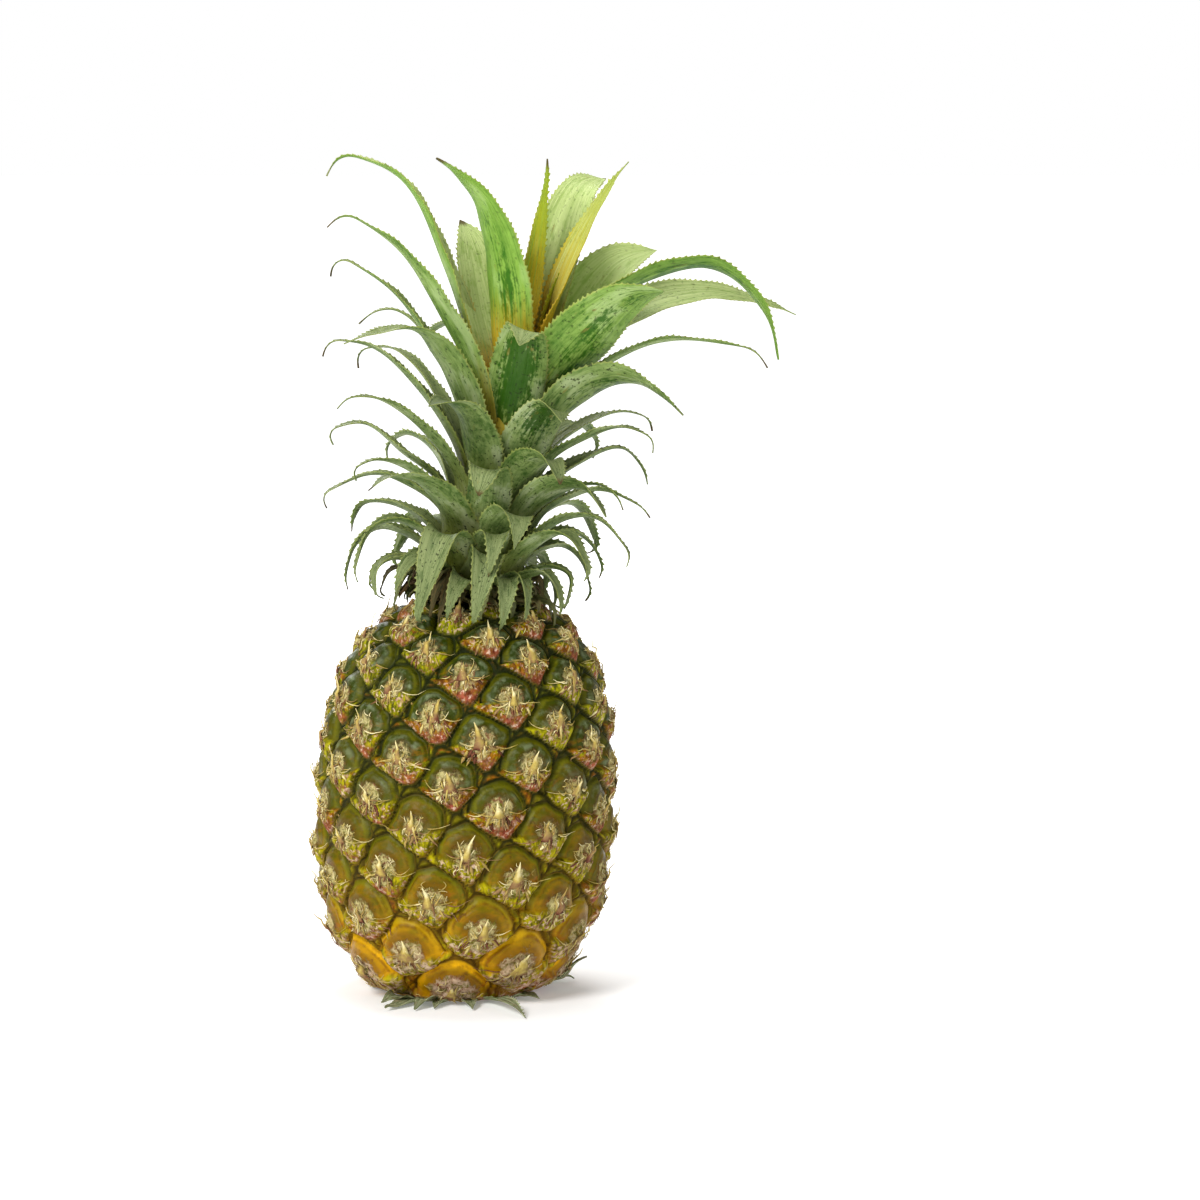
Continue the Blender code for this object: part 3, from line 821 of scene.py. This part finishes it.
blade = Finish("crown_leaf", Roughness=0.5, Specular_IOR_Level=0.16)
along, span = blade.mark("blade_along"), blade.mark("blade_across")
inner, youth = blade.mark("blade_inner"), blade.mark("blade_youth")
luck, rub = blade.mark("blade_chance"), blade.mark("blade_rub")


def blade_grain(aside, lengthwise, apart, detail=3, roughness=0.55):
    """Mottling by how fine it is across and along a blade, set apart from leaf to leaf."""
    at = blade.vector(span * aside, along * lengthwise, luck * apart)
    return blade.grain(1.0, detail, at, roughness)


fibres, mottle = blade_grain(14, 2.5, 40), blade_grain(2.2, 8, 60, 5, 0.62)
scratches, specks = blade_grain(7, 30, 80, 3, 0.6), blade_grain(8, 60, 90, 2, 0.5)
clouds = blade_grain(1.2, 3.5, 33, 4, 0.6)
# The outside of a blade is deep green under a pale bloom, which is rubbed off in places.
deep = blade.mix(youth, "1e4400", "2a6000")
bare = rub + mottle.swing(1.8) + fibres.swing(1.3) + scratches.swing(1.9)
bare = bare.step(0.22, 0.85)
worn_off = (clouds + scratches.swing(0.7)).step(0.38, 0.76)
outer_tone = blade.coats(
    blade.mix(youth, "7a8c50", "7ca43a"),
    (fibres.step(0.40, 0.72) * 0.38, deep),
    (worn_off * (0.72 - youth * 0.4), deep),
    (clouds.step(0.50, 0.32) * 0.65, blade.mix(youth, "a6b088", "a0be6c")),
    (bare * 0.9, deep),
)
# The inside is paler and finely veined, with worn spots.
inner_deep = blade.mix(youth, "24420c", "86a348")
inner_worn = (mottle + scratches.swing(0.5)).step(0.50, 0.68)
inner_tone = blade.coats(
    blade.mix(youth, "848f5c", "bccb84"),
    (fibres.step(0.35, 0.68) * 0.5, inner_deep),
    (inner_worn * 0.55, inner_deep),
)
# Both have a yellowish margin. An older leaf's foot has painted shade, a darker olive, under the
# leaves that overlap it; a young leaf's foot is yellow. Over them lie dark specks of dirt and rusty
# marks, and some ends have dried.
margin = abs(span).step(0.93, 1.0)
painted_foot_shade = (along + fibres.swing(0.2)).step(0.42, 0.05) * (1 - youth)
warm_foot = (along + fibres.swing(0.35) - youth * 0.22).step(0.26, 0.02) * youth
heart = youth.step(0.985, 1.0) * fibres.step(0.25, 0.6)
dirt = specks.step(0.61, 0.67) * (1 - youth * 0.7) * 0.8
rusty = blade_grain(3, 12, 15).step(0.66, 0.74)
withered = (along + mottle.swing(0.08)).step(0.95, 0.985) * luck.step(0.45, 0.6)
withered = withered.maths("MAXIMUM", blade.mark("blade_dry"))
leaf_tone = blade.coats(
    blade.mix(inner, outer_tone, inner_tone),
    (margin * (0.40 + youth * 0.3), "9c9e48"),
    (painted_foot_shade * 0.7, "5c5c10"),
    (warm_foot, "c49a1e"),
    (heart * 0.8, blade.mix(along.step(0.30, 0.95), "cc9c14", "98a210")),
    (dirt, "161e04"),
    (rusty * 0.5, "7a6a30"),
    (withered * 0.9, blade.mix((fibres + mottle).step(0.8, 1.2), "261a08", "685230")),
)
blade.set(Base_Color=leaf_tone)
blade.set(Roughness=0.50 - bare * 0.14 + withered * 0.25 + mottle.swing(0.3))
blade.bump(fibres * 0.7 + specks * 0.15 + mottle * 0.2, 0.0007, 0.8)

# Where the bloom is rubbed off: place along and across, how long and broad, and how much.
RUB_MARKS = {
    23: [(0.6, 0.0, 0.25, 0.7, 0.4)],
    29: [(0.85, 0.0, 0.15, 0.9, 0.5)],
    31: [(0.72, -0.1, 0.20, 0.7, 1.1)],
    36: [(0.6, 0.3, 0.25, 0.6, 0.6)],
    40: [(0.62, 0.05, 0.50, 0.60, 1.4)],
    45: [(0.35, 0.5, 0.12, 0.5, 0.9), (0.6, 0.1, 0.25, 0.5, 0.7)],
    47: [(0.62, 0.2, 0.2, 0.8, 0.9)],
    50: [(0.40, 0.2, 0.25, 0.4, 0.8)],
}
# How full the ends of the broader leaves are, and how far each rolls over, in degrees.
FORMS = {
    14: (2.9, 0), 17: (2.8, 15), 21: (4.0, 0), 22: (3.4, -10), 23: (3.8, 0), 25: (2.8, 0),
    29: (4.4, 0), 31: (4.4, -12), 36: (3.2, -18), 38: (2.6, 12), 40: (5.0, 0), 43: (2.4, 15),
    44: (2.8, 38), 45: (4.4, -24), 47: (2.6, -18), 49: (3.8, 22), 50: (3.2, 8), 51: (4.6, -14),
    52: (3.6, 10), 53: (2.4, 45), 54: (2.3, 30),
}
for number, line in enumerate(LEAVES, 1):
    fullness, twist = FORMS.get(number, (PLAIN_FULLNESS, 0))
    curl = SLIGHT_CURL
    if fullness < HOOKED_BELOW and number < HEART_FROM:
        curl = math.radians(20 + 100 * (number * 0.618 % 1))
        ending = np.array(line[-1]) - line[-2]
        line = (*line[:-1], tuple(line[-1] + ending * (2 + 3 * curl) / np.linalg.norm(ending)))
    youngest = 0.86 if number < HEART_FROM else 1
    # Leaf 49 is painted paler than its height on the stem would make it: painted light, to lift the
    # shade it lies in.
    freshness = 0.96 if number == 49 else min(smooth(line[2], 40, 78), youngest)
    rubs = RUB_MARKS.get(number, [])
    parts = leaf_parts(line, (fullness, twist, curl), freshness, 0, rubs, FIRST_SEED + number)
    leaf = make_leaves(f"leaf_{number:02d}", [parts], blade)
    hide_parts(f"crown_leaf_{number:02d}")

# ---- Small leaves of the crown ----
# Short hooked leaves fill the gaps low on the crown, dead brown scales lie between them and
# the fruit, and two narrow new blades stand in its heart. They grow like the large leaves.

SMALL_LEAVES = [
    (-102, 10, 3, (22, 8), (31, 11), (38, 4), (41, -6)),
    (-56, 10, 3, (22, 11), (31, 15), (37, 9), (40, -1)),
    (33, 9, 3, (20, 12), (29, 16), (36, 11), (40, 2)),
    (-166, 9, 3, (22, 9), (34, 12), (42, 6), (43, -5)),
    (20, 9, 12, (20, 25), (33, 34), (45, 30), (54, 18)),
    (62, 12, 6, (22, 14), (32, 20), (42, 15), (47, 2)),
    (105, 12, 4, (21, 10), (31, 14), (41, 8), (45, -6)),
    (52, 11, 5, (20, 17), (32, 22), (42, 16), (46, 4)),
    (95, 12, 4, (22, 15), (34, 19), (44, 12), (48, -2)),
    (140, 16, 24, (21, 41), (36, 54), (53, 57), (66, 47)),
    (-33, 10, 5, (20, 13), (30, 18), (38, 14), (43, 4)),
    (-136, 10, 5, (21, 12), (32, 16), (40, 10), (43, -3)),
    (-24, 10, 25, (18, 40), (30, 52), (44, 57), (57, 51)),
    (-166, 11, 23, (20, 36), (34, 46), (50, 48), (62, 40)),
    (-84, 15, 10, (18, 22), (29, 30), (38, 28), (42, 14)),
]
HEART_LEAVES = [
    (120, 8, 78, (5, 112), (7, 134), (8, 158)),
    (10, 8, 79, (4, 108), (5, 124), (8, 140)),
]
COLLAR_LEAVES, OUTER_SCALES, INNER_SCALES = 19, 46, 26
small = np.random.default_rng(5)
collar = []
for index in range(COLLAR_LEAVES):
    azimuth = (math.degrees(GOLDEN_ANGLE * index) + small.normal(0, 9)) % 360
    drop = -4 + 4.5 * math.cos(math.radians(azimuth)) + small.normal(0, 3)
    reach = small.uniform(0.72, 1.12)
    course = [(20 * reach, 5), (27 * reach, 9 + small.normal(0, 2.5)), (33 * reach, 6 + drop * 0.3)]
    collar.append((azimuth, small.uniform(4.5, 7.5), 1.5, *course, (35 * reach, drop)))
scales = []
for index in range(OUTER_SCALES):
    azimuth = (math.degrees(GOLDEN_ANGLE * index) + 60) % 360
    drop = 3.6 * math.cos(math.radians(azimuth))
    reach = small.uniform(0.7, 1.15)
    course = [(20 * reach, 2.5 + drop * 0.3), (25 * reach, small.uniform(1, 6) + drop * 0.5)]
    width = small.uniform(4, 8)
    scales.append((azimuth, width, 0.6, *course, (29 * reach, drop - small.uniform(-1, 4))))
for index in range(INNER_SCALES):
    azimuth = math.degrees(GOLDEN_ANGLE * index + 1) % 360
    drop = 3.6 * math.cos(math.radians(azimuth))
    course = [(19, 8 + drop * 0.3), (24, small.uniform(8, 13) + drop * 0.5)]
    course.append((28, small.uniform(3, 8) + drop))
    scales.append((azimuth, small.uniform(5, 9), 5, *course))
# Each group with its youth and how dry it is.
groups = [
    ("small_leaves", SMALL_LEAVES, 0.0, 0.0),
    ("heart_leaves", HEART_LEAVES, 1.0, 0.0),
    ("collar_leaves", collar, 0.0, 0.8),
    ("collar_scales", scales, 0.0, 1.1),
]
for group, lines, freshness, dryness in groups:
    leaves = []
    for number, line in enumerate(lines, 1):
        dry = dryness * small.uniform(0.3, 1.2)
        form = (2.0, small.normal(0, 15), small.uniform(0.2, 1.6))
        leaves.append(leaf_parts(line, form, freshness, dry, [], 300 + len(group) * 40 + number))
    make_leaves(group, leaves, blade)

# ---- Base bracts ----
# Scraps of the small dead leaves that grew on the stalk just under the fruit. They are thin,
# torn and half dried, still rooted under its edge, and lie out over whatever it stands on.

scrap = Finish("dead_leaf_scrap", Roughness=0.8, Specular_IOR_Level=0.15)
reach, aside = scrap.mark("blade_along"), scrap.mark("blade_across")
luck = scrap.mark("blade_chance")
veins = scrap.grain(1.0, 3, scrap.vector(aside * 9, reach * 3, luck * 30))
worn = scrap.grain(1.0, 4, scrap.vector(aside * 2, reach * 5, luck * 50), 0.6)
scrap_tone = scrap.mix(veins.step(0.35, 0.65), "46541e", "b6bc94")
scrap_tone = scrap.mix(worn.step(0.52, 0.62), scrap_tone, "4c3a14")
scrap_tone = scrap.mix(worn.step(0.56, 0.62) * 0.8, scrap_tone, "a09a78")
scrap.set(Base_Color=scrap_tone)
scrap.bump(veins, 0.0006, 0.8)


def on_the_floor(points):
    return np.maximum(points, (-999, -999, 0.05)) * MM


# One line a scrap, as for the leaves: azimuth, width, then (out, up) from the fruit's middle.
BASE_BRACTS = [
    [
        (-119, 9, (31, 0.6), (42, 1.2), (50, 0.9), (57, 2.2)),
        (-108, 8, (33, 1.0), (43, 2.8), (52, 0.5)),
        (-100, 6, (31, 0.8), (40, 1.5), (48, 0.6)),
        (-127, 7, (34, 1), (43, 3.0), (49, 1.2)),
    ],
    [
        (-67, 6, (31, 1.0), (47, 3.4), (60, 3.4), (71, 0.7)),
        (-82, 6, (32, 1.0), (43, 1.8), (49, 0.8)),
    ],
    [
        (18, 9, (31, 0.6), (38, 1.6), (44, 2.2), (49, 1.4)),
        (-8, 4.5, (38, 4), (43, 6), (47, 11), (52, 14)),
        (-42, 6, (33, 1.2), (39, 2), (44, 1.2)),
    ],
]
for number, lines in enumerate(BASE_BRACTS, 1):
    scraps = []
    for index, (azimuth, width, *course) in enumerate(lines):
        dice = np.random.default_rng(900 + number * 10 + index)
        form = (2.0, dice.normal(0, 14), dice.uniform(-0.3, 0.7))
        line, seed = (azimuth, width, None, *course), 950 + number * 10 + index
        scraps.append(leaf_parts(line, form, 0, 0, [], seed, on_the_floor))
    piece = make_leaves(f"stalk_bract_{number}", scraps, scrap)
    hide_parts(f"base_bract_{number}")

# ---- Stem ----
# The core of the crown, hidden among its leaves, and the stalk that the fruit was cut from:
# tough pale fibres that have dried brown. Both are cut or broken, never machined.

fibre = Finish("stem_fibre", Roughness=0.85, Specular_IOR_Level=0.15)
strands_tone = fibre.grain(600, 4, roughness=0.7)
weathered = fibre.grain(120, 3)
stem_tone = fibre.mix(strands_tone.step(0.35, 0.65), "3a2c12", "7d6a3a")
stem_tone = fibre.mix(weathered.step(0.45, 0.65) * 0.6, stem_tone, "2c2410")
fibre.set(Base_Color=stem_tone)
fibre.bump(strands_tone, 0.0012, 0.9)
for name in ("crown_stem", "stem_stub"):
    nodes[name].data.materials.clear()
    nodes[name].data.materials.append(fibre.material)

# ---- Studio ----
# A pale table top that runs out of sight and glows as painted light, dim near the fruit and white
# further off, and wide soft lamps in front, at the side and above.

TABLE_SIZE, TABLE_DROP = 60, 0.0002
ROOM_LIGHT, SEEN_WHITE = 0.30, 1.0


def make_lamp(name, place, aim_height, size, power):
    lamp = bpy.data.lights.new(name, "AREA")
    lamp.shape, lamp.size, lamp.energy = "DISK", size, power
    holder = bpy.data.objects.new(name, lamp)
    holder.location = place
    aim = Vector((0, 0, aim_height)) - Vector(place)
    holder.rotation_euler = aim.to_track_quat("-Z", "Y").to_euler()
    bpy.context.scene.collection.objects.link(holder)


# The table's glow is painted light: its emission grows from dim grey near the fruit to white further
# out.
table_finish = Finish(
    "studio_table", Base_Color=hexed("f4f4f4"), Roughness=0.9, Specular_IOR_Level=0.1,
    Emission_Strength=1.0,
)
spot = {0: table_finish.place()}
apart = table_finish.node("ShaderNodeVectorMath", {"operation": "LENGTH"}, spot, "Value")
table_finish.set(Emission_Color=table_finish.mix(apart.step(0.15, 1.2), "747474", "ffffff"))
table_mesh = bpy.data.meshes.new("studio_table")
half = TABLE_SIZE / 2
corners = [(-half, -half, 0), (half, -half, 0), (half, half, 0), (-half, half, 0)]
table_mesh.from_pydata(corners, [], [(0, 1, 2, 3)])
table_mesh.materials.append(table_finish.material)
table = bpy.data.objects.new("studio_table", table_mesh)
table.location.z = -TABLE_DROP
bpy.context.scene.collection.objects.link(table)

make_lamp("front_lamp", (-0.95, -1.35, 1.3), 0.15, 0.8, 37)
make_lamp("side_lamp", (1.5, -0.8, 0.8), 0.15, 0.9, 4)
make_lamp("top_lamp", (0, 0.4, 1.7), 0.2, 1.0, 20)
make_lamp("back_lamp", (-0.6, 1.6, 0.9), 0.2, 1.0, 12)

world = bpy.data.worlds.new("studio")
world.use_nodes = True
sky = world.node_tree.nodes["Background"]
sky.inputs["Color"].default_value = (1, 1, 1, 1)
seen = world.node_tree.nodes.new("ShaderNodeLightPath").outputs["Is Camera Ray"]
level = world.node_tree.nodes.new("ShaderNodeMapRange")
world.node_tree.links.new(seen, level.inputs["Value"])
level.inputs["To Min"].default_value = ROOM_LIGHT
level.inputs["To Max"].default_value = SEEN_WHITE
world.node_tree.links.new(level.outputs["Result"], sky.inputs["Strength"])
bpy.context.scene.world = world
bpy.context.scene.view_settings.view_transform = "Standard"

CAMERA_TILT, CAMERA_DISTANCE = math.radians(6), 1.8
camera = bpy.data.objects.new("camera", bpy.data.cameras.new("camera"))
camera.data.lens, camera.data.sensor_width = 135, 36
camera.data.clip_end = 100
camera_aim = Vector((0.0568, 0, 0.15706))
sight = Vector((0, math.cos(CAMERA_TILT), -math.sin(CAMERA_TILT)))
camera.location = camera_aim - sight * CAMERA_DISTANCE
camera.rotation_euler = (math.pi / 2 - CAMERA_TILT, 0, 0)
bpy.context.scene.collection.objects.link(camera)
bpy.context.scene.camera = camera
